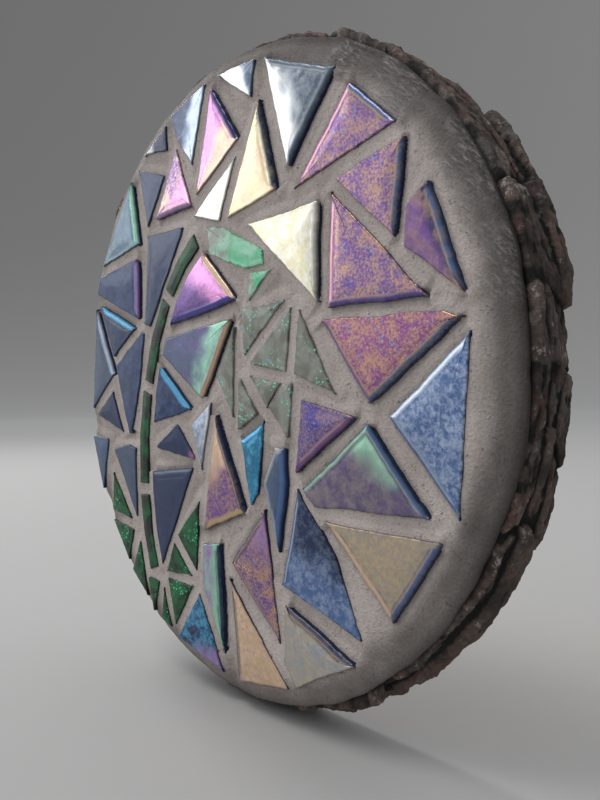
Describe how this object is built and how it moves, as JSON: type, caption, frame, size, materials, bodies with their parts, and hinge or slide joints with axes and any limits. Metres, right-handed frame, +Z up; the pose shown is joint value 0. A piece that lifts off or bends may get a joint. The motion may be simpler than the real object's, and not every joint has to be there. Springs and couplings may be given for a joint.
{
  "type": "mosaic panel",
  "caption": "Round wall panel: a slice of tree trunk with its bark on, faced with grout and shards of lustre glass that form a drooping flower.",
  "frame": {"origin": "middle of the flat back, in the plane that lies against the wall", "axes": "+Z up the wall, +X to the right as one faces the panel, -Y out of the mosaic's face, +Y into the wall"},
  "size_m": [0.1588, 0.0151, 0.1589],
  "materials": {
    "bark_wood": "rough bark, grey-brown with a red cast, over pale sawn wood",
    "grout": "fine sanded tile grout, matt",
    "violet_glass": "iridescent tile glass, mottled violet and gold, navy sides",
    "navy_glass": "dark navy tile glass with a faint lustre",
    "slate_glass": "slate-blue tile glass with a faint lustre",
    "steel_glass": "steel-blue tile glass, clouded with pale blue",
    "verdigris_glass": "iridescent tile glass, grey-green over violet",
    "gold_glass": "iridescent tile glass, pale gold and pink",
    "pearl_glass": "iridescent tile glass, pearl white over grey-blue",
    "rose_glass": "iridescent tile glass, rose and gold over navy",
    "azure_glass": "iridescent tile glass, azure with violet and green",
    "petal_glass": "pale grey-green glass backed with fine green glitter",
    "calyx_glass": "pale green glass full of glitter",
    "leaf_glass": "deep green glass full of glitter",
    "stem_glass": "dark bottle-green glass"
  },
  "bodies": {
    "root": {"wood_slice": "bark_wood", "grout_bed": "grout", "violet_shard_1": "violet_glass", "violet_shard_2": "violet_glass", "violet_shard_3": "violet_glass", "violet_shard_4": "violet_glass", "violet_shard_5": "violet_glass", "violet_shard_6": "violet_glass", "navy_shard_1": "navy_glass", "navy_shard_2": "navy_glass", "navy_shard_3": "navy_glass", "navy_shard_4": "navy_glass", "navy_shard_5": "navy_glass", "navy_shard_6": "navy_glass", "navy_shard_7": "navy_glass", "navy_shard_8": "navy_glass", "slate_shard_1": "slate_glass", "slate_shard_2": "slate_glass", "slate_shard_3": "slate_glass", "slate_shard_4": "slate_glass", "slate_shard_5": "slate_glass", "steel_shard_1": "steel_glass", "steel_shard_2": "steel_glass", "verdigris_shard_1": "verdigris_glass", "verdigris_shard_2": "verdigris_glass", "verdigris_shard_3": "verdigris_glass", "gold_shard_1": "gold_glass", "gold_shard_2": "gold_glass", "gold_shard_3": "gold_glass", "pearl_shard_1": "pearl_glass", "pearl_shard_2": "pearl_glass", "pearl_shard_3": "pearl_glass", "pearl_shard_4": "pearl_glass", "pearl_shard_5": "pearl_glass", "pearl_shard_6": "pearl_glass", "rose_shard_1": "rose_glass", "rose_shard_2": "rose_glass", "rose_shard_3": "rose_glass", "rose_shard_4": "rose_glass", "azure_shard_1": "azure_glass", "azure_shard_2": "azure_glass", "azure_shard_3": "azure_glass", "azure_shard_4": "azure_glass", "petal_shard_1": "petal_glass", "petal_shard_2": "petal_glass", "petal_shard_3": "petal_glass", "petal_shard_4": "petal_glass", "petal_shard_5": "petal_glass", "calyx_shard_1": "calyx_glass", "calyx_shard_2": "calyx_glass", "leaf_shard_1": "leaf_glass", "leaf_shard_2": "leaf_glass", "leaf_shard_3": "leaf_glass", "leaf_shard_4": "leaf_glass", "leaf_shard_5": "leaf_glass", "leaf_shard_6": "leaf_glass", "stem_shard_1": "stem_glass", "stem_shard_2": "stem_glass", "stem_shard_3": "stem_glass", "stem_shard_4": "stem_glass"}
  },
  "joints": []
}
